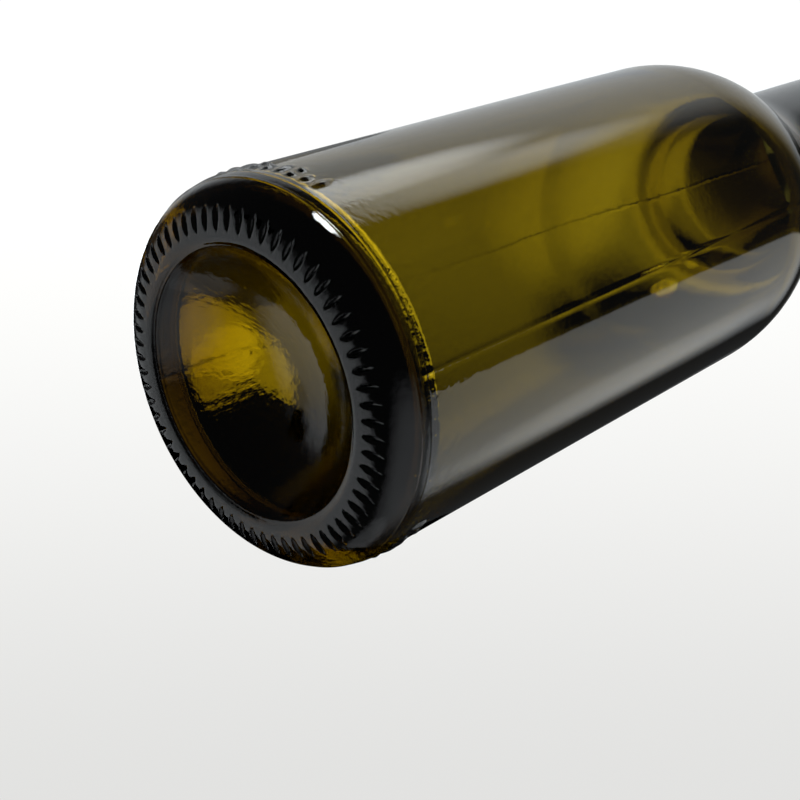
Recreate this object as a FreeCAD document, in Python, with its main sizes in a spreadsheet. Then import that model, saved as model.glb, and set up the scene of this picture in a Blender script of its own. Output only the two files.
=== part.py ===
import FreeCAD, Part
import Sketcher
import math
import os

# An empty bottle of clear green glass, one solid.
# It stands on its bearing ring: the origin is the centre of the base, +Z runs up the axis to the mouth.
# Lengths are millimetres and angles are degrees.

DRIVING_SIZES = {
    # the outside, from the base up
    "body_diameter": 51.0,
    "overall_height": 175.0,
    "heel_radius": 5.9,
    "shoulder_start": 90.0,
    "shoulder_radius": 34.0,
    "neck_sweep_radius": 30.0,
    "neck_root_diameter": 30.8,
    "neck_top_diameter": 29.6,
    # the band round the mouth
    "band_diameter": 31.4,
    "band_height": 8.0,
    "band_rounding": 0.7,
    # the flat ring that the bottle stands on, and the hollow pushed up into the base inside it
    "bearing_width": 0.7,
    "punt_depth": 10.5,
    "punt_edge_radius": 2.2,
    # the glass and the inside
    "wall_thickness": 2.3,
    "base_thickness": 3.0,
    "heel_thickness": 6.2,
    "inner_heel_radius": 1.8,
    "inner_sweep_radius": 8.0,
    "throat_diameter": 28.0,
    "throat_top": 146.0,
    "bore_diameter": 18.6,
    # the ring of notches in the heel, just outside the bearing ring
    "notch_count": 64,
    "notch_angle": 13.7,
    "notch_cutter_radius": 4.2,
    "notch_depth": 0.55,
    "notch_width": 0.85,
    # how far a cutting shape runs past the face that it cuts
    "overrun": 2.0,
}

doc = FreeCAD.newDocument("bottle")
sheet = doc.addObject("Spreadsheet::Sheet", "Sizes")
for row, (name, number) in enumerate(DRIVING_SIZES.items(), start=1):
    sheet.set(f"A{row}", name)
    sheet.set(f"B{row}", str(number))
    sheet.setAlias(f"B{row}", name)
doc.recompute()


def size(name):
    """A driving size as it stands in the sheet."""
    return float(getattr(sheet, name))


def cells(formula):
    """The formula with each driving size's name turned into its cell."""
    words = sorted(DRIVING_SIZES, key=len, reverse=True)
    for number, name in enumerate(words):
        formula = formula.replace(name, f"<{number}>")
    for number, name in enumerate(words):
        formula = formula.replace(f"<{number}>", f"Sizes.{name}")
    return formula


class Outline:
    """A closed sketch drawn piece by piece, in which each size is bound to the sheet."""

    def __init__(self, body, name, plane_role):
        plane = next(p for p in body.Origin.OriginFeatures if p.Role == plane_role)
        self.sketch = body.newObject("Sketcher::SketchObject", name)
        self.sketch.AttachmentSupport = [(plane, "")]
        self.sketch.MapMode = "FlatFace"

    def line(self, start, end, construction=False):
        piece = Part.LineSegment(FreeCAD.Vector(*start, 0), FreeCAD.Vector(*end, 0))
        return self.sketch.addGeometry(piece, construction)

    def arc(self, centre, radius, start_angle, end_angle):
        circle = Part.Circle(FreeCAD.Vector(*centre, 0), FreeCAD.Vector(0, 0, 1), radius)
        return self.sketch.addGeometry(Part.ArcOfCircle(circle, start_angle, end_angle), False)

    def rule(self, kind, *places):
        """A rule between pieces, such as Horizontal, Tangent or Coincident."""
        return self.sketch.addConstraint(Sketcher.Constraint(kind, *places))

    def drawn(self, kind, *places):
        """The size as it is drawn so far."""
        if kind == "Radius":
            return self.sketch.Geometry[places[0]].Radius
        reach = self.sketch.getPoint(*places[2:]) - self.sketch.getPoint(*places[:2])
        return reach.x if kind == "DistanceX" else reach.y

    def bind(self, kind, *places, formula):
        """A size between pieces, which follows a formula of driving sizes."""
        number = self.sketch.addConstraint(Sketcher.Constraint(kind, *places, self.drawn(kind, *places)))
        self.sketch.setExpression(f"Constraints[{number}]", cells(formula))
        return number

    def chain(self, ends):
        """Joins each pair of piece ends, as (piece, end, piece, end)."""
        for joint in ends:
            self.rule("Coincident", *joint)


START, END, CENTRE = 1, 2, 3
ORIGIN = (-1, 1)


def around(centre, radius, angle):
    """The point at an angle on a circle."""
    return centre[0] + radius * math.cos(angle), centre[1] + radius * math.sin(angle)


def sweep_angles(arc_centre_x, arc_radius, sweep_radius, root_radius, top_radius, arc_z, top_z):
    """Where a shoulder arc hands over to the sweep into the neck, and the neck's taper, as two angles."""
    taper = 0.0
    for _ in range(30):
        lean = (root_radius + sweep_radius * math.cos(taper) - arc_centre_x) / (arc_radius + sweep_radius)
        turn = math.acos(lean)
        root_z = arc_z + (arc_radius + sweep_radius) * math.sin(turn) - sweep_radius * math.sin(taper)
        taper = math.atan((root_radius - top_radius) / (top_z - root_z))
    return turn, taper, root_z


def dome_radius(apex_z, edge_x, edge_z, edge_radius):
    """The radius of a dome about the axis that runs smoothly into an arc round (edge_x, edge_z)."""
    drop = apex_z - edge_z
    return (edge_x**2 + drop**2 - edge_radius**2) / (2 * (edge_radius + drop))


def outside(body):
    """The whole outer shape with a flat base, turned about the axis."""
    body_r = size("body_diameter") / 2
    heel = size("heel_radius")
    shoulder_z = size("shoulder_start")
    shoulder_r = size("shoulder_radius")
    sweep_r = size("neck_sweep_radius")
    root_r = size("neck_root_diameter") / 2
    top_r = size("neck_top_diameter") / 2
    band_r = size("band_diameter") / 2
    height = size("overall_height")
    band_z = height - size("band_height")
    centre_x = body_r - shoulder_r
    turn, taper, root_z = sweep_angles(centre_x, shoulder_r, sweep_r, root_r, top_r, shoulder_z, band_z)
    sweep_centre = around((centre_x, shoulder_z), shoulder_r + sweep_r, turn)

    draw = Outline(body, "OutsideOutline", "XZ_Plane")
    base = draw.line((0, 0), (body_r - heel, 0))
    heel_arc = draw.arc((body_r - heel, heel), heel, -math.pi / 2, 0)
    wall = draw.line((body_r, heel), (body_r, shoulder_z))
    shoulder = draw.arc((centre_x, shoulder_z), shoulder_r, 0, turn)
    sweep = draw.arc(sweep_centre, sweep_r, math.pi + taper, math.pi + turn)
    neck = draw.line((root_r, root_z), (top_r, band_z))
    band_under = draw.line((top_r, band_z), (band_r, band_z))
    band_side = draw.line((band_r, band_z), (band_r, height))
    top = draw.line((band_r, height), (0, height))
    axis = draw.line((0, height), (0, 0))

    draw.rule("Coincident", base, START, *ORIGIN)
    draw.rule("Horizontal", base)
    draw.rule("Vertical", wall)
    draw.rule("Horizontal", band_under)
    draw.rule("Vertical", band_side)
    draw.rule("Horizontal", top)
    draw.rule("Vertical", axis)
    draw.rule("Tangent", base, END, heel_arc, START)
    draw.rule("Tangent", heel_arc, END, wall, START)
    draw.rule("Tangent", wall, END, shoulder, START)
    draw.rule("Tangent", shoulder, END, sweep, END)
    draw.rule("Tangent", sweep, START, neck, START)
    draw.chain([
        (neck, END, band_under, START),
        (band_under, END, band_side, START),
        (band_side, END, top, START),
        (top, END, axis, START),
        (axis, END, base, START),
    ])
    draw.bind("Radius", heel_arc, formula="heel_radius")
    draw.bind("Radius", shoulder, formula="shoulder_radius")
    draw.bind("Radius", sweep, formula="neck_sweep_radius")
    draw.bind("DistanceX", *ORIGIN, wall, END, formula="body_diameter / 2")
    draw.bind("DistanceY", *ORIGIN, wall, END, formula="shoulder_start")
    draw.bind("DistanceX", *ORIGIN, neck, START, formula="neck_root_diameter / 2")
    draw.bind("DistanceX", *ORIGIN, neck, END, formula="neck_top_diameter / 2")
    draw.bind("DistanceY", *ORIGIN, neck, END, formula="overall_height - band_height")
    draw.bind("DistanceX", *ORIGIN, band_side, START, formula="band_diameter / 2")
    draw.bind("DistanceY", *ORIGIN, axis, START, formula="overall_height")

    turned = body.newObject("PartDesign::Revolution", "Outside")
    turned.Profile = draw.sketch
    turned.ReferenceAxis = (draw.sketch, ["V_Axis"])
    turned.Angle = 360
    return turned


def hollow(body):
    """The space inside, from the domed floor up through the narrowing throat and the bore, out at the mouth."""
    wall = size("wall_thickness")
    inner_r = size("body_diameter") / 2 - wall
    shoulder_z = size("shoulder_start")
    shoulder_r = size("shoulder_radius") - wall
    sweep_r = size("inner_sweep_radius")
    throat_r = size("throat_diameter") / 2
    throat_top = size("throat_top")
    bore_r = size("bore_diameter") / 2
    mouth_z = size("overall_height") + size("overrun")
    channel_r = size("inner_heel_radius")
    channel_x = inner_r - channel_r
    channel_z = size("heel_thickness") + channel_r
    floor_z = size("punt_depth") + size("base_thickness")
    dome_r = dome_radius(floor_z, channel_x, channel_z, channel_r)
    dome_z = floor_z - dome_r
    dip = math.atan2(channel_z - dome_z, channel_x)
    centre_x = inner_r - shoulder_r
    turn, taper, throat_z = sweep_angles(
        centre_x, shoulder_r, sweep_r, throat_r, bore_r, shoulder_z, throat_top)
    sweep_centre = around((centre_x, shoulder_z), shoulder_r + sweep_r, turn)

    draw = Outline(body, "HollowOutline", "XZ_Plane")
    dome = draw.arc((0, dome_z), dome_r, dip, math.pi / 2)
    channel = draw.arc((channel_x, channel_z), channel_r, math.pi + dip, 2 * math.pi)
    inner_wall = draw.line((inner_r, channel_z), (inner_r, shoulder_z))
    shoulder = draw.arc((centre_x, shoulder_z), shoulder_r, 0, turn)
    sweep = draw.arc(sweep_centre, sweep_r, math.pi + taper, math.pi + turn)
    throat = draw.line((throat_r, throat_z), (bore_r, throat_top))
    bore = draw.line((bore_r, throat_top), (bore_r, mouth_z))
    top = draw.line((bore_r, mouth_z), (0, mouth_z))
    axis = draw.line((0, mouth_z), (0, floor_z))

    draw.rule("Vertical", inner_wall)
    draw.rule("Vertical", bore)
    draw.rule("Horizontal", top)
    draw.rule("PointOnObject", axis, START, -2)
    draw.rule("Vertical", axis)
    draw.rule("PointOnObject", dome, CENTRE, -2)
    draw.rule("Tangent", dome, START, channel, START)
    draw.rule("Tangent", channel, END, inner_wall, START)
    draw.rule("Tangent", inner_wall, END, shoulder, START)
    draw.rule("Tangent", shoulder, END, sweep, END)
    draw.rule("Tangent", sweep, START, throat, START)
    draw.chain([
        (throat, END, bore, START),
        (bore, END, top, START),
        (top, END, axis, START),
        (axis, END, dome, END),
    ])
    draw.bind("Radius", channel, formula="inner_heel_radius")
    draw.bind("DistanceY", *ORIGIN, channel, CENTRE, formula="heel_thickness + inner_heel_radius")
    draw.bind("DistanceY", *ORIGIN, dome, END, formula="punt_depth + base_thickness")
    draw.bind("DistanceX", *ORIGIN, inner_wall, END, formula="body_diameter / 2 - wall_thickness")
    draw.bind("DistanceY", *ORIGIN, inner_wall, END, formula="shoulder_start")
    draw.bind("Radius", shoulder, formula="shoulder_radius - wall_thickness")
    draw.bind("Radius", sweep, formula="inner_sweep_radius")
    draw.bind("DistanceX", *ORIGIN, throat, START, formula="throat_diameter / 2")
    draw.bind("DistanceX", *ORIGIN, throat, END, formula="bore_diameter / 2")
    draw.bind("DistanceY", *ORIGIN, throat, END, formula="throat_top")
    draw.bind("DistanceY", *ORIGIN, axis, START, formula="overall_height + overrun")

    cut = body.newObject("PartDesign::Groove", "Hollow")
    cut.Profile = draw.sketch
    cut.ReferenceAxis = (draw.sketch, ["V_Axis"])
    cut.Angle = 360
    return cut


def punt(body):
    """The dome pushed up into the base, which leaves a flat bearing ring round it."""
    edge_r = size("punt_edge_radius")
    edge_x = size("body_diameter") / 2 - size("heel_radius") - size("bearing_width")
    depth = size("punt_depth")
    below = -size("overrun")
    dome_r = dome_radius(depth, edge_x, edge_r, edge_r)
    dome_z = depth - dome_r
    dip = math.atan2(edge_r - dome_z, edge_x)

    draw = Outline(body, "PuntOutline", "XZ_Plane")
    dome = draw.arc((0, dome_z), dome_r, dip, math.pi / 2)
    edge = draw.arc((edge_x, edge_r), edge_r, math.pi + dip, 1.5 * math.pi)
    side = draw.line((edge_x, 0), (edge_x, below))
    under = draw.line((edge_x, below), (0, below))
    axis = draw.line((0, below), (0, depth))

    draw.rule("PointOnObject", dome, CENTRE, -2)
    draw.rule("Tangent", dome, START, edge, START)
    draw.rule("Vertical", side)
    draw.rule("Horizontal", under)
    draw.rule("PointOnObject", axis, START, -2)
    draw.rule("Vertical", axis)
    draw.chain([
        (edge, END, side, START),
        (side, END, under, START),
        (under, END, axis, START),
        (axis, END, dome, END),
    ])
    draw.bind("Radius", edge, formula="punt_edge_radius")
    draw.bind("DistanceX", *ORIGIN, edge, CENTRE, formula="body_diameter / 2 - heel_radius - bearing_width")
    draw.bind("DistanceY", *ORIGIN, edge, CENTRE, formula="punt_edge_radius")
    draw.bind("DistanceX", *ORIGIN, side, START, formula="body_diameter / 2 - heel_radius - bearing_width")
    draw.bind("DistanceY", *ORIGIN, dome, END, formula="punt_depth")
    draw.bind("DistanceY", axis, START, *ORIGIN, formula="overrun")

    cut = body.newObject("PartDesign::Groove", "Punt")
    cut.Profile = draw.sketch
    cut.ReferenceAxis = (draw.sketch, ["V_Axis"])
    cut.Angle = 360
    return cut


def first_notch(body):
    """One lens-shaped notch in the heel, left by a sharp-edged wheel that lies along a radius."""
    heel = size("heel_radius")
    cutter = size("notch_cutter_radius")
    depth = size("notch_depth")
    lean = math.radians(size("notch_angle"))
    reach = heel + cutter - depth
    centre_z = heel - reach * math.cos(lean)
    tip_z = centre_z + cutter
    half_width = size("notch_width") / 2
    rim_z = tip_z - 2 * depth

    draw = Outline(body, "NotchOutline", "YZ_Plane")
    draw.sketch.setExpression(
        "AttachmentOffset.Base.z",
        cells("body_diameter / 2 - heel_radius"
              " + (heel_radius + notch_cutter_radius - notch_depth) * sin(notch_angle * 1deg)"),
    )
    left = draw.line((0, tip_z), (-2 * half_width, rim_z))
    under = draw.line((-2 * half_width, rim_z), (2 * half_width, rim_z))
    right = draw.line((2 * half_width, rim_z), (0, tip_z))
    spindle = draw.line((-heel, centre_z), (heel, centre_z), construction=True)

    draw.chain([
        (left, END, under, START),
        (under, END, right, START),
        (right, END, left, START),
    ])
    draw.rule("PointOnObject", left, START, -2)
    draw.rule("Horizontal", under)
    draw.rule("Horizontal", spindle)
    draw.rule("Equal", left, right)
    draw.bind("DistanceX", under, START, under, END, formula="2 * notch_width")
    draw.bind("DistanceY", under, END, left, START, formula="2 * notch_depth")
    draw.bind("DistanceY", spindle, START, left, START, formula="notch_cutter_radius")
    draw.bind(
        "DistanceY", spindle, START, *ORIGIN,
        formula="(heel_radius + notch_cutter_radius - notch_depth) * cos(notch_angle * 1deg) - heel_radius",
    )
    draw.bind("DistanceX", spindle, START, *ORIGIN, formula="heel_radius")
    draw.bind("DistanceX", *ORIGIN, spindle, END, formula="heel_radius")

    cut = body.newObject("PartDesign::Groove", "Notch")
    cut.Profile = draw.sketch
    cut.ReferenceAxis = (draw.sketch, ["Axis0"])
    cut.Angle = 360
    return cut


def notch_ring(body, notch):
    """The notch repeated all round the heel."""
    ring = body.newObject("PartDesign::PolarPattern", "NotchRing")
    ring.Originals = [notch]
    ring.Axis = (next(a for a in body.Origin.OriginFeatures if a.Role == "Z_Axis"), [""])
    ring.Angle = 360
    ring.setExpression("Occurrences", cells("notch_count"))
    body.Tip = ring
    return ring


def rounded_mouth(body, base):
    """The band's two outer edges and the mouth's inner edge, rounded alike."""
    height = size("overall_height")
    band_r = size("band_diameter") / 2
    levels = (height, height - size("band_height"))
    names = []
    for number, edge in enumerate(base.Shape.Edges, start=1):
        if edge.Degenerated or edge.Curve.TypeId != "Part::GeomCircle":
            continue
        curve = edge.Curve
        on_level = min(abs(curve.Center.z - level) for level in levels) < 1e-3
        outer = abs(curve.Radius - band_r) < 1e-3
        mouth = abs(curve.Center.z - height) < 1e-3 and curve.Radius < band_r - size("band_rounding")
        if on_level and (outer or mouth):
            names.append(f"Edge{number}")
    if len(names) != 3:
        raise RuntimeError(f"the band has {len(names)} edges to round, not 3")
    rounding = body.newObject("PartDesign::Fillet", "RoundedMouth")
    rounding.Base = (base, names)
    rounding.setExpression("Radius", cells("band_rounding"))
    return rounding


def check_cut(before, feature):
    """Stops when a cut took nothing away."""
    if before - feature.Shape.Volume < 1e-3:
        raise RuntimeError(f"{feature.Name} cut nothing")
    return feature.Shape.Volume


bottle = doc.addObject("PartDesign::Body", "Bottle")
bottle.Label = "bottle"
bottle.Placement = FreeCAD.Placement()
turned = outside(bottle)
doc.recompute()
volume = turned.Shape.Volume
inside = hollow(bottle)
doc.recompute()
volume = check_cut(volume, inside)
rounded_mouth(bottle, inside)
doc.recompute()
volume = check_cut(volume, bottle.Tip)
dome = punt(bottle)
doc.recompute()
volume = check_cut(volume, dome)
notch = first_notch(bottle)
doc.recompute()
volume = check_cut(volume, notch)
ring = notch_ring(bottle, notch)
doc.recompute()
volume = check_cut(volume, ring)

for thing in doc.Objects:
    if "Invalid" in thing.State or "Error" in thing.State:
        raise RuntimeError(f"{thing.Name} failed: {thing.State}")

os.makedirs("parts", exist_ok=True)
for node in [bottle]:
    if node.Shape.isNull() or not node.Shape.isValid():
        raise RuntimeError(f"{node.Label} has no valid shape")
    if len(node.Shape.Solids) != 1:
        raise RuntimeError(f"{node.Label} is {len(node.Shape.Solids)} solids, not 1")
    box = node.Shape.BoundBox
    print(f"{node.Label}: {box.XLength:.2f} x {box.YLength:.2f} x {box.ZLength:.2f} mm,"
          f" {node.Shape.Volume / 1000:.2f} cm3 of glass")
    node.Shape.exportStep(f"parts/{node.Label}.step")
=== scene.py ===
# %% [markdown]
# # An empty wine bottle of olive-green glass
# This lesson makes one clear glass bottle, the small size that holds a quarter of a standard bottle. Clear glass
# has no paint or print to look at: all that is seen is light that the glass bends, swallows and mirrors. So the
# work goes into three things: the true shape of both sides of the glass, the fine marks that a mould leaves on it,
# and a studio that gives it something to mirror.
# The measured part is loaded first.

# %% Load the measured part
import math

import bpy
from mathutils import Matrix, Vector


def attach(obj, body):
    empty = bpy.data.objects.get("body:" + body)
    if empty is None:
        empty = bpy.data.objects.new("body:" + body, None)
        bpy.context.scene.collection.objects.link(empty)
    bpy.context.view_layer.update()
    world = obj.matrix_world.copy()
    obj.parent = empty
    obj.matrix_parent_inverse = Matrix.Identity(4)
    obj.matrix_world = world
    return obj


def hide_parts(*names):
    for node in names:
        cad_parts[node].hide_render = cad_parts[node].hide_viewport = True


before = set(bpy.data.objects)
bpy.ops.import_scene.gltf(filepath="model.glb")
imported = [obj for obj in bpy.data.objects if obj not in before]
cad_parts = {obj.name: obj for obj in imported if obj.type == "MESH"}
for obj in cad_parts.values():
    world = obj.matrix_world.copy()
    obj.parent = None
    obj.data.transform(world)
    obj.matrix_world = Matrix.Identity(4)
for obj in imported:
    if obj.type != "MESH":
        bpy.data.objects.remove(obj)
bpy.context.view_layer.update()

MM = 0.001

# %% [markdown]
# ## Small helpers for node trees
# Both the shape and the finish are made of nodes. A node is a small machine with sockets, and a line between two
# sockets carries a value. The helpers below add a node, set its inputs and hand back its first output, so that a
# formula reads like a formula. An input may be a plain number or the output of another node.

# %% Helpers that add nodes
def feed(tree, socket, value):
    """Sets an input to a number or joins it to another node's output."""
    if isinstance(value, bpy.types.NodeSocket):
        tree.links.new(value, socket)
    elif value is not None:
        socket.default_value = value


def calc(tree, operation, *values, clamp=False):
    """A Math node: one sum on one, two or three values."""
    node = tree.nodes.new("ShaderNodeMath")
    node.operation = operation
    node.use_clamp = clamp
    for socket, value in zip(node.inputs, values):
        feed(tree, socket, value)
    return node.outputs[0]


def total(tree, *values):
    """The sum of several values."""
    result = values[0]
    for value in values[1:]:
        result = calc(tree, "ADD", result, value)
    return result


def product(tree, *values):
    """The product of several values."""
    result = values[0]
    for value in values[1:]:
        result = calc(tree, "MULTIPLY", result, value)
    return result


def ease(tree, value, low, high, start=0.0, end=1.0):
    """A soft step from start to end, as the value goes from low to high."""
    node = tree.nodes.new("ShaderNodeMapRange")
    node.interpolation_type = "SMOOTHSTEP"
    for name, number in (("Value", value), ("From Min", low), ("From Max", high), ("To Min", start), ("To Max", end)):
        feed(tree, node.inputs[name], number)
    return node.outputs["Result"]


def split(tree, vector):
    """The three parts of a vector."""
    node = tree.nodes.new("ShaderNodeSeparateXYZ")
    feed(tree, node.inputs[0], vector)
    return node.outputs


def join(tree, x, y, z):
    """A vector from its three parts."""
    node = tree.nodes.new("ShaderNodeCombineXYZ")
    for socket, value in zip(node.inputs, (x, y, z)):
        feed(tree, socket, value)
    return node.outputs[0]


# %% [markdown]
# ## The section of the glass
# A round bottle is the same outline turned about its axis, so it needs only half of its section, from the middle of
# the hollow in the base, round the heel, up the wall, over the mouth and back down the inside. On the real bottle the
# outside is the mould's shape and the inside is blown, so the two differ: the glass is thick in the heel and the
# neck, and thin in the wall. A lathe tool in Blender could turn a traced curve, but arcs and lines with real radii
# give the true shape, and rows can be placed close together only where something small happens.

# %% The outline's sizes, in millimetres
BODY_R, HEIGHT = 25.5, 175.0
HEEL_R, BEARING = 5.9, 0.7
SHOULDER_Z, SHOULDER_R, SWEEP_R = 90.0, 34.0, 30.0
NECK_ROOT_R, NECK_TOP_R = 15.4, 14.8
BAND_R, BAND_HEIGHT, BAND_ROUND = 15.7, 8.0, 0.7
PUNT_DEPTH, PUNT_EDGE_R = 10.5, 2.2
WALL, FLOOR_GLASS, HEEL_GLASS, INNER_HEEL_R = 2.3, 3.0, 6.2, 1.8
INNER_SWEEP_R, THROAT_R, THROAT_TOP, BORE_R = 8.0, 14.0, 146.0, 9.3
print("a bottle", 2 * BODY_R, "mm wide and", HEIGHT, "mm tall, with a bore of", 2 * BORE_R, "mm")

# %% Arcs, lines and the places where they meet
def spaced(start, end, steps):
    """Evenly spaced numbers, both ends among them."""
    return [start + (end - start) * k / steps for k in range(steps + 1)]


def arc(centre, radius, angles):
    """Points on a circle at some angles."""
    return [(centre[0] + radius * math.cos(a), centre[1] + radius * math.sin(a)) for a in angles]


def line(start, end, steps):
    """Points on a straight line."""
    return [(x, z) for x, z in zip(spaced(start[0], end[0], steps), spaced(start[1], end[1], steps))]


def sweep_into_neck(arc_x, arc_r, sweep_r, root_r, top_r, arc_z, top_z):
    """Where the shoulder's arc hands over to the hollow sweep into the neck, and how far the neck leans in."""
    lean = 0.0
    for _ in range(30):  # The lean and the root's height depend on each other, and settle in a few rounds.
        turn = math.acos((root_r + sweep_r * math.cos(lean) - arc_x) / (arc_r + sweep_r))
        root_z = arc_z + (arc_r + sweep_r) * math.sin(turn) - sweep_r * math.sin(lean)
        lean = math.atan((root_r - top_r) / (top_z - root_z))
    centre = (arc_x + (arc_r + sweep_r) * math.cos(turn), arc_z + (arc_r + sweep_r) * math.sin(turn))
    return turn, lean, centre


def dome(apex_z, edge_x, edge_z, edge_r):
    """The radius and middle height of a dome on the axis that runs smoothly into the arc at its edge."""
    drop = apex_z - edge_z
    radius = (edge_x**2 + drop**2 - edge_r**2) / (2 * (edge_r + drop))
    return radius, apex_z - radius


turn, lean, sweep_at = sweep_into_neck(
    BODY_R - SHOULDER_R, SHOULDER_R, SWEEP_R, NECK_ROOT_R, NECK_TOP_R, SHOULDER_Z, HEIGHT - BAND_HEIGHT)
inner_r, inner_shoulder_r = BODY_R - WALL, SHOULDER_R - WALL
inner_turn, inner_lean, inner_sweep_at = sweep_into_neck(
    inner_r - inner_shoulder_r, inner_shoulder_r, INNER_SWEEP_R, THROAT_R, BORE_R, SHOULDER_Z, THROAT_TOP)
punt_x = BODY_R - HEEL_R - BEARING
punt_r, punt_z = dome(PUNT_DEPTH, punt_x, PUNT_EDGE_R, PUNT_EDGE_R)
punt_dip = math.atan2(PUNT_EDGE_R - punt_z, punt_x)
channel = (inner_r - INNER_HEEL_R, HEEL_GLASS + INNER_HEEL_R)
floor_r, floor_z = dome(PUNT_DEPTH + FLOOR_GLASS, channel[0], channel[1], INNER_HEEL_R)
floor_dip = math.atan2(channel[1] - floor_z, channel[0])
print("shoulder turns", round(math.degrees(turn), 1), "degrees; punt dome radius", round(punt_r, 2), "mm")

# %% The outside of the section, from the middle of the base to the mouth
# Rows lie closest on the heel, up to where the notches fade, and on the low part of the wall that carries the marks.
NOTCHES_FADE = -0.44
MARKED_TOP = 10.9
heel_at = (BODY_R - HEEL_R, HEEL_R)
section = arc((0, punt_z), punt_r, spaced(math.pi / 2, punt_dip, 18))
section += arc((punt_x, PUNT_EDGE_R), PUNT_EDGE_R, spaced(math.pi + punt_dip, 1.5 * math.pi, 16))[1:]
heel_start = len(section) - 1
section += line((punt_x, 0), (heel_at[0], 0), 3)[1:]
section += arc(heel_at, HEEL_R, spaced(-math.pi / 2, NOTCHES_FADE, 28))[1:]
section += arc(heel_at, HEEL_R, spaced(NOTCHES_FADE, 0, 22))[1:]
heel_end = len(section) - 1
section += line((BODY_R, HEEL_R), (BODY_R, MARKED_TOP), 15)[1:]
section += line((BODY_R, MARKED_TOP), (BODY_R, SHOULDER_Z), 6)[1:]
section += arc((BODY_R - SHOULDER_R, SHOULDER_Z), SHOULDER_R, spaced(0, turn, 11))[1:]
section += arc(sweep_at, SWEEP_R, spaced(math.pi + turn, math.pi + lean, 8))[1:]
section += line(section[-1], (NECK_TOP_R, HEIGHT - BAND_HEIGHT), 3)[1:]
band_low, band_high = HEIGHT - BAND_HEIGHT + BAND_ROUND, HEIGHT - BAND_ROUND
section += arc((BAND_R - BAND_ROUND, band_low), BAND_ROUND, spaced(-math.pi / 2, 0, 4))
section += arc((BAND_R - BAND_ROUND, band_high), BAND_ROUND, spaced(0, math.pi / 2, 4))
outside_end = len(section) - 1
section += arc((BORE_R + BAND_ROUND, band_high), BAND_ROUND, spaced(math.pi / 2, math.pi, 4))
print(outside_end + 1, "rows on the outside")

# %% The inside of the section, from the mouth down to the middle of the floor
section += line(section[-1], (BORE_R, THROAT_TOP), 2)[1:]
section += line(section[-1], arc(inner_sweep_at, INNER_SWEEP_R, [math.pi + inner_lean])[0], 4)[1:]
section += arc(inner_sweep_at, INNER_SWEEP_R, spaced(math.pi + inner_lean, math.pi + inner_turn, 6))[1:]
section += arc((inner_r - inner_shoulder_r, SHOULDER_Z), inner_shoulder_r, spaced(inner_turn, 0, 9))[1:]
section += line((inner_r, SHOULDER_Z), (inner_r, channel[1]), 5)[1:]
section += arc(channel, INNER_HEEL_R, spaced(2 * math.pi, math.pi + floor_dip, 11))[1:]
section += arc((0, floor_z), floor_r, spaced(floor_dip, math.pi / 2, 11))[1:]
section[0] = (0.0, section[0][1])
section[-1] = (0.0, section[-1][1])
print(len(section), "rows in all")

# %% [markdown]
# ## The hairlines of the mould
# A bottle mould is a base plate and two halves. Where they meet, the glass keeps a hairline: one ring inside the
# foot, two on the heel, and one line up each side. The rings belong to the section, as rows pushed out by a few
# hundredths of a millimetre. A texture could fake them, but a real step catches the light as the real one does.

# %% Rings raised on the section
ROWS_ASIDE = 8


def raised_ring(points, nearest, height, half_width):
    """The section with a rounded ring raised where it passes nearest to a point."""
    middle = min(range(1, len(points) - 1), key=lambda k: math.dist(points[k], nearest))
    centre = points[middle]
    moved = list(points)
    for k in range(max(1, middle - ROWS_ASIDE), min(len(points) - 1, middle + ROWS_ASIDE + 1)):
        reach = math.dist(points[k], centre) / half_width
        if reach < 1:
            along_x = points[k + 1][0] - points[k - 1][0]
            along_z = points[k + 1][1] - points[k - 1][1]
            length = math.hypot(along_x, along_z)
            lift = height * (1 - reach**2) ** 2
            moved[k] = (points[k][0] + lift * along_z / length, points[k][1] - lift * along_x / length)
    return moved


# Each ring is a place on the section, a height and a half width.
RINGS = [((17.55, 0.46), 0.07, 0.24), ((25.1, 3.8), 0.05, 0.26), ((25.48, 5.3), 0.035, 0.26)]
for place, height, half_width in RINGS:
    section = raised_ring(section, place, height, half_width)
print(len(RINGS), "rings, the highest", max(ring[1] for ring in RINGS), "mm high")

# %% The section as a line of points, each with what may happen to it
def weights(inside, fade):
    """One number for each row: 1 where inside says so, and fading by steps beside it."""
    numbers = [1.0 if inside(k, *section[k]) else 0.0 for k in range(len(section))]
    for _ in range(fade):
        numbers = [max(n, 0.5 * max(numbers[max(k - 1, 0)], numbers[min(k + 1, len(numbers) - 1)]))
                   if n < 1 else n for k, n in enumerate(numbers)]
    return numbers


# Notches belong to the heel, the line up each side runs from the heel to the band, and the marks sit low on the wall.
RIDGE_START, RIDGE_END = heel_end - 16, HEIGHT - BAND_HEIGHT - 0.5
MARKS_LOW, MARKS_HIGH, MARKS_R = 5.0, 11.0, 20.0
BLOWN_START = outside_end + 8
row_weights = {
    "notched": weights(lambda k, r, z: heel_start <= k <= heel_end, 0),
    "ridged": weights(lambda k, r, z: RIDGE_START <= k <= outside_end and z < RIDGE_END, 2),
    "marked": weights(lambda k, r, z: k <= outside_end and MARKS_LOW < z < MARKS_HIGH and r > MARKS_R, 0),
    "blown": weights(lambda k, r, z: k > BLOWN_START, 2),
}
section_mesh = bpy.data.meshes.new("bottle_glass")
section_mesh.from_pydata([(r * MM, 0, z * MM) for r, z in section],
                         [(k, k + 1) for k in range(len(section) - 1)], [])
for name, numbers in row_weights.items():
    section_mesh.attributes.new(name, "FLOAT", "POINT").data.foreach_set("value", numbers)
bottle = bpy.data.objects.new("bottle_glass", section_mesh)
bpy.context.scene.collection.objects.link(bottle)
print({name: sum(number > 0 for number in numbers) for name, numbers in row_weights.items()}, "rows")

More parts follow.
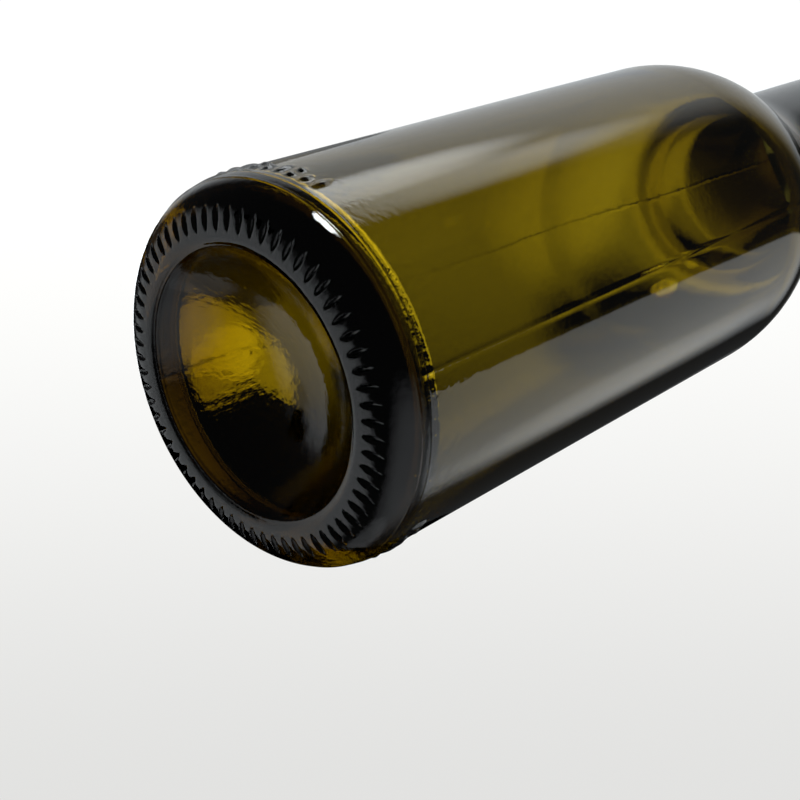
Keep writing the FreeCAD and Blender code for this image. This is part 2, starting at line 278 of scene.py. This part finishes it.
# %% [markdown]
# ## Turning the glass with Geometry Nodes
# The bottle follows one rule, so a node tree makes it: a flat grid has one row for each point of the section and one
# column for each step round the axis, and every point of the grid is moved to its place on the bottle. Spin or Screw
# would turn the section too, but here the same formula can also press in the ring of notches, raise the line up each
# side and let the inner face waver, so that it all stays one closed skin of glass.
# Steps round the axis lie closer together in the middle of each notch, where the surface bends most.

# %% A new tree with named inputs
def geometry_tree(name, inputs):
    """An empty tree of Geometry Nodes with named inputs, and its two end nodes."""
    tree = bpy.data.node_groups.new(name, "GeometryNodeTree")
    tree.interface.new_socket("Geometry", in_out="INPUT", socket_type="NodeSocketGeometry")
    tree.interface.new_socket("Geometry", in_out="OUTPUT", socket_type="NodeSocketGeometry")
    for label, kind, value in inputs:
        socket = tree.interface.new_socket(label, in_out="INPUT", socket_type=kind)
        if value is not None:
            socket.default_value = value
    return tree, tree.nodes.new("NodeGroupInput"), tree.nodes.new("NodeGroupOutput")


# A notch is 0.55 mm deep, and the wheel that cuts it sits along a line that leans out from the heel's middle.
NOTCHES, STEPS_PER_NOTCH = 64, 8
NOTCH_DEPTH, NOTCH_WHEEL_R = 0.55, 4.2
NOTCH_LEAN = math.radians(13.7)
NOTCH_REACH = HEEL_R + NOTCH_WHEEL_R - NOTCH_DEPTH
RIDGE_HEIGHT = 0.05
turned_inputs = [
    ("Steps round", "NodeSocketInt", NOTCHES * STEPS_PER_NOTCH),
    ("Rows", "NodeSocketInt", len(section)),
    ("Notch count", "NodeSocketInt", NOTCHES),
    ("Notch wheel radius", "NodeSocketFloat", NOTCH_WHEEL_R * MM),
    ("Notch wheel slope", "NodeSocketFloat", 1.3),
    ("Notch softness", "NodeSocketFloat", 0.12 * MM),
    ("Notch wheel out", "NodeSocketFloat", (BODY_R - HEEL_R + NOTCH_REACH * math.sin(NOTCH_LEAN)) * MM),
    ("Notch wheel up", "NodeSocketFloat", (HEEL_R - NOTCH_REACH * math.cos(NOTCH_LEAN)) * MM),
    ("Ridge height", "NodeSocketFloat", RIDGE_HEIGHT * MM),
    ("Ridge half width", "NodeSocketFloat", 0.34 * MM),
    ("Mark height", "NodeSocketFloat", 0.34 * MM),
    ("Waver", "NodeSocketFloat", 0.16 * MM),
    ("Seed", "NodeSocketFloat", 4.0),
    ("Glass", "NodeSocketMaterial", None),
]
tree, given, result = geometry_tree("Turned glass", turned_inputs)
print("the tree has", len(turned_inputs), "inputs")

# %% The grid, and which row and step each of its points stands for
CROWDING = 0.35
grid = tree.nodes.new("GeometryNodeMeshGrid")
feed(tree, grid.inputs["Vertices X"], calc(tree, "ADD", given.outputs["Steps round"], 1))
feed(tree, grid.inputs["Vertices Y"], given.outputs["Rows"])
flat = split(tree, tree.nodes.new("GeometryNodeInputPosition").outputs[0])
last_row = calc(tree, "SUBTRACT", given.outputs["Rows"], 1)
row = calc(tree, "ROUND", product(tree, calc(tree, "ADD", flat[1], 0.5), last_row))
step = calc(tree, "ROUND", product(tree, calc(tree, "ADD", flat[0], 0.5), given.outputs["Steps round"]))
step = calc(tree, "MODULO", step, given.outputs["Steps round"])
pitch = calc(tree, "DIVIDE", product(tree, step, given.outputs["Notch count"]), given.outputs["Steps round"])
wave = calc(tree, "SINE", product(tree, pitch, math.tau))
pitch = calc(tree, "SUBTRACT", pitch, product(tree, wave, CROWDING / math.tau))
angle = calc(tree, "DIVIDE", product(tree, pitch, math.tau), given.outputs["Notch count"])


# %% What the section says for each row
def on_section(value, kind="FLOAT"):
    """A value of the section, read at this point's row."""
    node = tree.nodes.new("GeometryNodeSampleIndex")
    node.data_type = kind
    node.domain = "POINT"
    tree.links.new(given.outputs["Geometry"], node.inputs["Geometry"])
    tree.links.new(value, node.inputs["Value"])
    tree.links.new(row, node.inputs["Index"])
    return node.outputs[0]


def section_weight(name):
    """One of the section's stored weights."""
    node = tree.nodes.new("GeometryNodeInputNamedAttribute")
    node.data_type = "FLOAT"
    node.inputs["Name"].default_value = name
    return on_section(node.outputs["Attribute"])


place = split(tree, on_section(tree.nodes.new("GeometryNodeInputPosition").outputs[0], "FLOAT_VECTOR"))
radius, height = place[0], place[2]

# %% [markdown]
# ## The notches in the heel
# The foot of a wine bottle is ringed with small notches, so that the hot bottle stands on little teeth and not on a
# full ring, which would chill and crack. Each is shaped like a cut from a sharp-edged wheel that lies along the
# radius. A point of the heel that falls inside such a wheel is pushed out to its rim, and the Smooth Maximum rounds
# the corner, as fire does to glass.

# %% Notches pressed in
off_pitch = calc(tree, "SUBTRACT", pitch, calc(tree, "ROUND", pitch))
aside = product(tree, off_pitch, radius, calc(tree, "DIVIDE", math.tau, given.outputs["Notch count"]))
rim = calc(tree, "SUBTRACT", given.outputs["Notch wheel radius"],
           product(tree, calc(tree, "ABSOLUTE", aside), given.outputs["Notch wheel slope"]))
from_x = calc(tree, "SUBTRACT", radius, given.outputs["Notch wheel out"])
from_z = calc(tree, "SUBTRACT", height, given.outputs["Notch wheel up"])
away = calc(tree, "SQRT", total(tree, product(tree, from_x, from_x), product(tree, from_z, from_z)))
push = calc(tree, "SMOOTH_MAX", calc(tree, "SUBTRACT", rim, away), 0.0, given.outputs["Notch softness"])
push = product(tree, push, section_weight("notched"))
radius = total(tree, radius, product(tree, push, calc(tree, "DIVIDE", from_x, away)))
height = total(tree, height, product(tree, push, calc(tree, "DIVIDE", from_z, away)))

# %% [markdown]
# ## The line up each side, and the row of raised marks
# The mould's two halves leave a low ridge up both sides of the bottle. Near the foot a maker raises a row of
# small signs on the glass. Here that row holds plain bars and pairs of dots, which mean nothing.

# %% A ridge on both sides
across = calc(tree, "ABSOLUTE", product(tree, radius, calc(tree, "SINE", angle)))
near_line = calc(tree, "DIVIDE", across, given.outputs["Ridge half width"])
hump = calc(tree, "MAXIMUM", calc(tree, "SUBTRACT", 1.0, product(tree, near_line, near_line)), 0.0)
ridge = product(tree, hump, given.outputs["Ridge height"], section_weight("ridged"))
print("the ridge is", RIDGE_HEIGHT, "mm high")

# %% Bars and dots in a row
MARK_PITCH = math.radians(4.75)
MARK_Z = 8.2 * MM
MARK_SLANT = 0.12
ROWS_OF_MARKS = [(math.radians(242.4), 13), (math.radians(52), 5)]


def patch(x, z, half_x, half_z, lift=0.0):
    """A rounded raised patch, 1 at its middle and 0 from its edge on. Its sizes and its lift are millimetres."""
    out_x = calc(tree, "DIVIDE", x, half_x * MM)
    out_z = calc(tree, "DIVIDE", calc(tree, "SUBTRACT", z, lift * MM), half_z * MM)
    inside = calc(tree, "SUBTRACT", 1.0, total(tree, product(tree, out_x, out_x), product(tree, out_z, out_z)))
    return calc(tree, "MAXIMUM", inside, 0.0)


def row_of_marks(start, count):
    """Marks from an angle on, one for each pitch: a tall bar, two dots, a short bar, and again."""
    along = calc(tree, "DIVIDE", calc(tree, "SUBTRACT", angle, start), MARK_PITCH)
    number = calc(tree, "ROUND", along)
    x = product(tree, calc(tree, "SUBTRACT", along, number), MARK_PITCH * BODY_R * MM)
    z = calc(tree, "SUBTRACT", height, MARK_Z)
    x = total(tree, x, product(tree, z, MARK_SLANT))
    kind = calc(tree, "MODULO", number, 3.0)
    tall = patch(x, z, 0.62, 1.9)
    dots = calc(tree, "MAXIMUM", patch(x, z, 0.7, 0.8, 1.0), patch(x, z, 0.7, 0.8, -1.0))
    short = patch(x, z, 0.66, 1.3, -0.5)
    shape = total(tree, *[product(tree, sign, calc(tree, "COMPARE", kind, float(turn_of), 0.1))
                          for turn_of, sign in enumerate((tall, dots, short))])
    counted = product(tree, calc(tree, "GREATER_THAN", number, -0.5), calc(tree, "LESS_THAN", number, count - 0.5))
    return product(tree, calc(tree, "POWER", calc(tree, "MAXIMUM", shape, 0.0), 0.7), counted)


marks = total(tree, *[row_of_marks(*row_at) for row_at in ROWS_OF_MARKS])
marks = product(tree, marks, given.outputs["Mark height"], section_weight("marked"))
print(sum(count for start, count in ROWS_OF_MARKS), "marks in", len(ROWS_OF_MARKS), "rows")

# %% [markdown]
# ## The blown inside
# The inner face never touches metal, so it wavers a little, and that is why things seen through a bottle look bent.
# A slow noise with a fixed seed moves the inner rows by about a tenth of a millimetre.

# %% Waver of the inner face
noise = tree.nodes.new("ShaderNodeTexNoise")
noise.noise_dimensions = "4D"
noise.inputs["Scale"].default_value = 55.0
noise.inputs["Detail"].default_value = 1.0
feed(tree, noise.inputs["W"], given.outputs["Seed"])
feed(tree, noise.inputs["Vector"], join(tree, product(tree, radius, calc(tree, "COSINE", angle)),
                                        product(tree, radius, calc(tree, "SINE", angle)),
                                        product(tree, height, 0.45)))
waver = product(tree, calc(tree, "SUBTRACT", noise.outputs[0], 0.5), 2.0, given.outputs["Waver"])
waver = product(tree, waver, section_weight("blown"))
# It fades out within 5 mm of the axis, so that the point there stays on the axis.
waver = product(tree, waver, calc(tree, "MINIMUM", product(tree, radius, 200.0), 1.0))

# %% Every point moved to its place, the edges closed, the skin made smooth
radius = total(tree, radius, ridge, marks, waver)
to_place = tree.nodes.new("GeometryNodeSetPosition")
tree.links.new(grid.outputs["Mesh"], to_place.inputs["Geometry"])
feed(tree, to_place.inputs["Position"], join(tree, product(tree, radius, calc(tree, "COSINE", angle)),
                                             product(tree, radius, calc(tree, "SINE", angle)), height))
closed = tree.nodes.new("GeometryNodeMergeByDistance")
closed.inputs["Distance"].default_value = 0.0005 * MM
smooth = tree.nodes.new("GeometryNodeSetShadeSmooth")
realized = tree.nodes.new("GeometryNodeRealizeInstances")
coated = tree.nodes.new("GeometryNodeSetMaterial")
tree.links.new(to_place.outputs[0], closed.inputs[0])
tree.links.new(closed.outputs[0], smooth.inputs[0])
tree.links.new(smooth.outputs[0], realized.inputs[0])
tree.links.new(realized.outputs[0], coated.inputs[0])
tree.links.new(given.outputs["Glass"], coated.inputs["Material"])
tree.links.new(coated.outputs[0], result.inputs[0])
print("the tree has", len(tree.nodes), "nodes")

# %% [markdown]
# ## Olive-green glass
# Bottle glass is clear glass with a little iron in it. It has no colour on its surface: light takes on the colour as
# it goes through, more for each millimetre, so the thin wall is olive and the thick heel nearly black. One Principled
# shader set to full transmission bends and mirrors the light, and a Volume Absorption shader inside swallows it.
# A green see-through surface would be simpler, but it would be the same green everywhere.
# The skin isn't perfect. It has a slow ripple, a fine grain like an orange's near the foot, where the glass cooled
# against the metal, streaks that run outwards in the hollow of the base, and a few specks of dust.

# %% A bump made of ripple, grain, streaks and specks
glass = bpy.data.materials.new("olive_green_glass")
glass.use_nodes = True
skin = glass.node_tree
skin.nodes.clear()
where = skin.nodes.new("ShaderNodeTexCoord").outputs["Object"]


# Heights in millimetres.
RIPPLE, PEEL_AT_FOOT, PEEL_ON_WALL, STREAKS, SPECKS = 0.05, 0.035, 0.004, 0.045, 0.10


def grain(tree, vector, scale, detail=2.0, roughness=0.5):
    """A noise pattern, from 0 to 1."""
    node = tree.nodes.new("ShaderNodeTexNoise")
    feed(tree, node.inputs["Vector"], vector)
    node.inputs["Scale"].default_value = scale
    node.inputs["Detail"].default_value = detail
    node.inputs["Roughness"].default_value = roughness
    return node.outputs[0]


at = split(skin, where)
out = calc(skin, "SQRT", total(skin, product(skin, at[0], at[0]), product(skin, at[1], at[1])))
bearing = calc(skin, "ARCTAN2", at[1], at[0])
near_foot = ease(skin, at[2], 0.005, 0.016, 1.0, 0.0)
in_hollow = product(skin, ease(skin, out, 0.004, 0.008), ease(skin, out, 0.0172, 0.0185, 1.0, 0.0), near_foot)
around = join(skin, calc(skin, "COSINE", bearing), calc(skin, "SINE", bearing), product(skin, out, 28.0))
ripple = product(skin, grain(skin, where, 60.0, 1.0), RIPPLE)
peel_height = ease(skin, at[2], 0.004, 0.020, PEEL_AT_FOOT, PEEL_ON_WALL)
peel = product(skin, grain(skin, where, 900.0, 2.0), peel_height)
streaks = product(skin, grain(skin, around, 9.0, 3.0, 0.6), in_hollow, STREAKS)
specks = skin.nodes.new("ShaderNodeTexVoronoi")
feed(skin, specks.inputs["Vector"], where)
specks.inputs["Scale"].default_value = 160.0
some = calc(skin, "GREATER_THAN", split(skin, specks.outputs["Color"])[0], 0.90)
speck = product(skin, ease(skin, specks.outputs["Distance"], 0.0, 0.05, 1.0, 0.0), some, SPECKS)
bump = skin.nodes.new("ShaderNodeBump")
bump.inputs["Strength"].default_value = 1.0
bump.inputs["Distance"].default_value = 1.0 * MM
feed(skin, bump.inputs["Height"], total(skin, ripple, peel, streaks, speck))
print("the skin's bump has", len(skin.nodes), "nodes")

# %% The glass itself
shader = skin.nodes.new("ShaderNodeBsdfPrincipled")
shader.inputs["Base Color"].default_value = (1.0, 1.0, 1.0, 1.0)
shader.inputs["Transmission Weight"].default_value = 1.0
shader.inputs["IOR"].default_value = 1.52
feed(skin, shader.inputs["Roughness"], total(skin, 0.004, product(skin, grain(skin, where, 35.0, 3.0), 0.012)))
tint = skin.nodes.new("ShaderNodeVolumeAbsorption")
tint.inputs["Color"].default_value = (0.72, 0.66, 0.04, 1.0)
tint.inputs["Density"].default_value = 1250.0
finish = skin.nodes.new("ShaderNodeOutputMaterial")
skin.links.new(bump.outputs[0], shader.inputs["Normal"])
skin.links.new(shader.outputs[0], finish.inputs["Surface"])
skin.links.new(tint.outputs[0], finish.inputs["Volume"])
print("glass bends light by", round(shader.inputs["IOR"].default_value, 2))

# %% The tree put to work, and its result kept as a plain mesh
turning = bottle.modifiers.new("Turned glass", "NODES")
turning.node_group = tree
sockets = {item.name: item.identifier for item in tree.interface.items_tree if item.in_out == "INPUT"}
for label, kind, value in turned_inputs:
    if value is not None:
        turning[sockets[label]] = value
turning[sockets["Glass"]] = glass
turned = bpy.data.meshes.new_from_object(bottle.evaluated_get(bpy.context.evaluated_depsgraph_get()))
bottle.modifiers.clear()
bottle.data = turned
turned.materials.clear()
turned.materials.append(glass)
turned.polygons.foreach_set("material_index", [0] * len(turned.polygons))


def enclosed(mesh):
    """The space inside a closed mesh, less than nothing if its faces point inwards."""
    mesh.calc_loop_triangles()
    corners = [v.co for v in mesh.vertices]
    return sum(corners[t.vertices[0]].dot(corners[t.vertices[1]].cross(corners[t.vertices[2]]))
               for t in mesh.loop_triangles) / 6


if enclosed(turned) < 0:
    turned.flip_normals()
turned.name = "bottle_glass"
print("faces:", len(turned.polygons), "glass:", round(enclosed(turned) / MM**3 / 1000, 2), "cm3",
      "materials:", [m.name for m in turned.materials])

# %% The bottle takes the measured part's place
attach(bottle, "root")
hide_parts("bottle")
print(bottle.name, "stands for the measured bottle")

# %% [markdown]
# ## Where the camera stands
# The bottle is looked at from below and from one side, close to its foot, with its neck going away into the
# distance. The camera is placed by three arrows: what is right, what is up and what is behind it.

# %% The camera
RIGHT = Vector((0.71295219, 0.21050261, 0.66887056))
UP = Vector((-0.00990902, -0.95075721, 0.30977822))
BACK = Vector((0.70114263, -0.22748492, -0.67575856))
STANDS_AT = Vector((130.21, -32.53, -100.41)) * MM
camera = bpy.data.objects.new("camera", bpy.data.cameras.new("camera"))
bpy.context.scene.collection.objects.link(camera)
camera.matrix_world = Matrix.Translation(STANDS_AT) @ Matrix((RIGHT, UP, BACK)).transposed().to_4x4()
camera.data.sensor_width = 36.0
camera.data.lens = 61.62
camera.data.clip_start = 0.01
camera.data.dof.use_dof = False
bpy.context.scene.camera = camera
print("the camera stands", round(STANDS_AT.length / MM), "mm from the middle of the base")

# %% [markdown]
# ## The studio
# Glass shows its surroundings, so the studio is part of the picture: soft lamps above and behind the bottle, a long
# lamp low at the right, and dark cards between them. Their mirror images draw the two long pale bands on the body,
# and the lamps behind the bottle shine green through it. All this is a World whose brightness depends on the
# direction, which costs no light objects and stays free of noise.
# From below, the floor must not hide the bottle, so its underside lets the camera look through. A ray that has come
# through the floor sees this studio, and one that started above it sees an even pale room. The lamps' directions are
# counted from the camera, and they suit this one view only.
# Not every row is a maker's choice. A fitting program gave the first two lamps and the first four cards as they
# stand, the directions of the third, seventh and eighth lamps, and the long lamp's sharp edge. The other rows were
# set one by one, by where their mirror images have to fall.

# %% Directions and soft shapes for the World
world = bpy.data.worlds.new("studio")
bpy.context.scene.world = world
world.use_nodes = True
sky = world.node_tree
sky.nodes.clear()
look = sky.nodes.new("ShaderNodeTexCoord").outputs["Generated"]


def toward(direction):
    """How far a ray looks along a direction, from -1 to 1."""
    node = sky.nodes.new("ShaderNodeVectorMath")
    node.operation = "DOT_PRODUCT"
    feed(sky, node.inputs[0], look)
    node.inputs[1].default_value = direction
    return node.outputs["Value"]


def studio_direction(x, y, z):
    """A direction given as right, up and behind the camera."""
    return tuple((RIGHT * x + UP * y + BACK * z).normalized())


def glow(direction, inner, outer, strength):
    """A round soft light in a direction, full within one angle and gone at another."""
    spread = toward(studio_direction(*direction))
    return ease(sky, spread, math.cos(math.radians(outer)), math.cos(math.radians(inner)), 0.0, strength)


# %% Lamps and dark cards
# Each row is a direction as right, up and behind, the angles where it is full and gone, and how bright it is.
LAMPS = [
    ((0.057, 0.591, -0.804), 25.7, 45.9, 0.66),
    ((0.158, 0.899, -0.408), 3.9, 11.2, 2.20),
    ((0.391, 0.860, -0.328), 2.0, 9.0, 1.10),
    ((0.190, 0.185, -0.964), 4.0, 9.0, 0.70),
    ((-0.200, -0.015, -0.980), 6.5, 8.0, 1.50),
    ((-0.290, 0.070, -0.954), 6.0, 8.5, 2.20),
    ((-0.929, -0.321, -0.185), 22.8, 39.8, 0.62),
    ((0.419, -0.851, 0.318), 14.0, 50.0, 0.50),
    ((-0.150, -0.950, -0.250), 8.0, 18.0, 0.30),
    ((-0.020, 0.915, 0.400), 7.0, 9.5, 24.0),
]
CARDS = [
    ((-0.314, -0.524, -0.792), 31.8, 32.8, -1.69),
    ((-0.194, 0.328, -0.924), 8.6, 9.6, -0.48),
    ((-0.969, -0.145, 0.200), 5.6, 12.9, -0.28),
    ((-0.982, 0.108, 0.158), 5.0, 9.9, -0.39),
    ((0.450, 0.170, -0.875), 4.0, 7.0, -0.50),
    ((0.225, 0.055, -0.972), 4.0, 7.5, -0.60),
    ((-0.460, 0.160, -0.870), 5.0, 8.5, -1.20),
]
# The long lamp is two soft lights behind one sharp edge, and a trace of light comes from everywhere.
LONG_LAMP = [((0.87, -0.30, -0.40), 19.0, 31.0, 0.80), ((0.68, -0.36, -0.64), 2.0, 9.0, 0.35)]
LONG_LAMP_EDGE = ((0.644, -0.634, -0.429), 39.4, 40.6, 1.0)
TRACE = 0.03
long_lamp = product(sky, glow(*LONG_LAMP_EDGE), total(sky, *[glow(*soft) for soft in LONG_LAMP]))
studio = total(sky, long_lamp, *[glow(*soft) for soft in LAMPS + CARDS], TRACE)
studio = calc(sky, "MAXIMUM", studio, 0.0)
print(len(LAMPS), "lamps and", len(CARDS), "dark cards")

# %% The even pale room, and what the camera itself sees
upward = toward((0.0, 0.0, 1.0))
room = ease(sky, upward, -0.2, 0.9, 0.55, 0.95)
panel = product(sky, ease(sky, toward((-0.62, -0.78, 0.0)), 0.80, 0.90), ease(sky, upward, 0.05, 0.15), 2.2)
room = total(sky, room, panel)
backing = ease(sky, toward(tuple(UP)), -0.30, 0.20, 0.76, 1.04)
path = sky.nodes.new("ShaderNodeLightPath")
through_floor = calc(sky, "GREATER_THAN", path.outputs["Transparent Depth"], 0.5)


def either(share, first, second):
    """First where share is 0 and second where it is 1."""
    return total(sky, product(sky, first, calc(sky, "SUBTRACT", 1.0, share)), product(sky, second, share))


# The light is a little cold, and the backing a little warm.
COLD, WARM = (0.94, 0.99, 1.02), (1.0, 1.0, 0.985)
direct = path.outputs["Is Camera Ray"]
seen = either(direct, either(through_floor, room, studio), backing)
light = sky.nodes.new("ShaderNodeBackground")
tone = join(sky, *[either(direct, cold, warm) for cold, warm in zip(COLD, WARM)])
feed(sky, light.inputs["Color"], tone)
feed(sky, light.inputs["Strength"], seen)
sky.links.new(light.outputs[0], sky.nodes.new("ShaderNodeOutputWorld").inputs["Surface"])
print("the studio has", len(sky.nodes), "nodes")

# %% The pale floor, which lets the camera look through it from below
FLOOR_R, FLOOR_DROP, FLOOR_CORNERS = 4.0, 0.0001, 96
floor_mesh = bpy.data.meshes.new("floor")
floor_rim = [(FLOOR_R * math.cos(a), FLOOR_R * math.sin(a), -FLOOR_DROP)
             for a in spaced(0, math.tau, FLOOR_CORNERS)[:-1]]
floor_mesh.from_pydata(floor_rim, [], [tuple(range(FLOOR_CORNERS))])
floor = bpy.data.objects.new("floor", floor_mesh)
bpy.context.scene.collection.objects.link(floor)
paper = bpy.data.materials.new("pale_floor")
paper.use_nodes = True
sheet = paper.node_tree
matt = sheet.nodes["Principled BSDF"]
matt.inputs["Base Color"].default_value = (0.80, 0.80, 0.79, 1.0)
matt.inputs["Roughness"].default_value = 0.6
clear = sheet.nodes.new("ShaderNodeBsdfTransparent")
blend = sheet.nodes.new("ShaderNodeMixShader")
passed = sheet.nodes.new("ShaderNodeLightPath").outputs["Transparent Depth"]
below = sheet.nodes.new("ShaderNodeNewGeometry").outputs["Backfacing"]
feed(sheet, blend.inputs[0], calc(sheet, "MAXIMUM", below, calc(sheet, "GREATER_THAN", passed, 0.5)))
sheet.links.new(matt.outputs[0], blend.inputs[1])
sheet.links.new(clear.outputs[0], blend.inputs[2])
sheet.links.new(blend.outputs[0], sheet.nodes["Material Output"].inputs["Surface"])
floor.data.materials.append(paper)
print("the floor is", 2 * FLOOR_R, "m wide")

# %% A large soft lamp over the floor
LAMP_SIZE, LAMP_WATTS = 0.7, 6.0
LAMP_AT, LAMP_AIM = Vector((-0.35, -0.45, 0.75)), Vector((0.0, 0.0, 0.05))
lamp_data = bpy.data.lights.new("soft_lamp", "AREA")
lamp_data.shape = "RECTANGLE"
lamp_data.size, lamp_data.size_y = LAMP_SIZE, LAMP_SIZE
lamp_data.energy = LAMP_WATTS
lamp = bpy.data.objects.new("soft_lamp", lamp_data)
bpy.context.scene.collection.objects.link(lamp)
lamp.location = LAMP_AT
lamp.rotation_mode = "QUATERNION"
lamp.rotation_quaternion = (LAMP_AIM - LAMP_AT).to_track_quat("-Z", "Y")
lamp.visible_glossy = False
lamp.visible_transmission = False
bpy.context.scene.view_settings.view_transform = "Standard"
print("the soft lamp gives", LAMP_WATTS, "W")
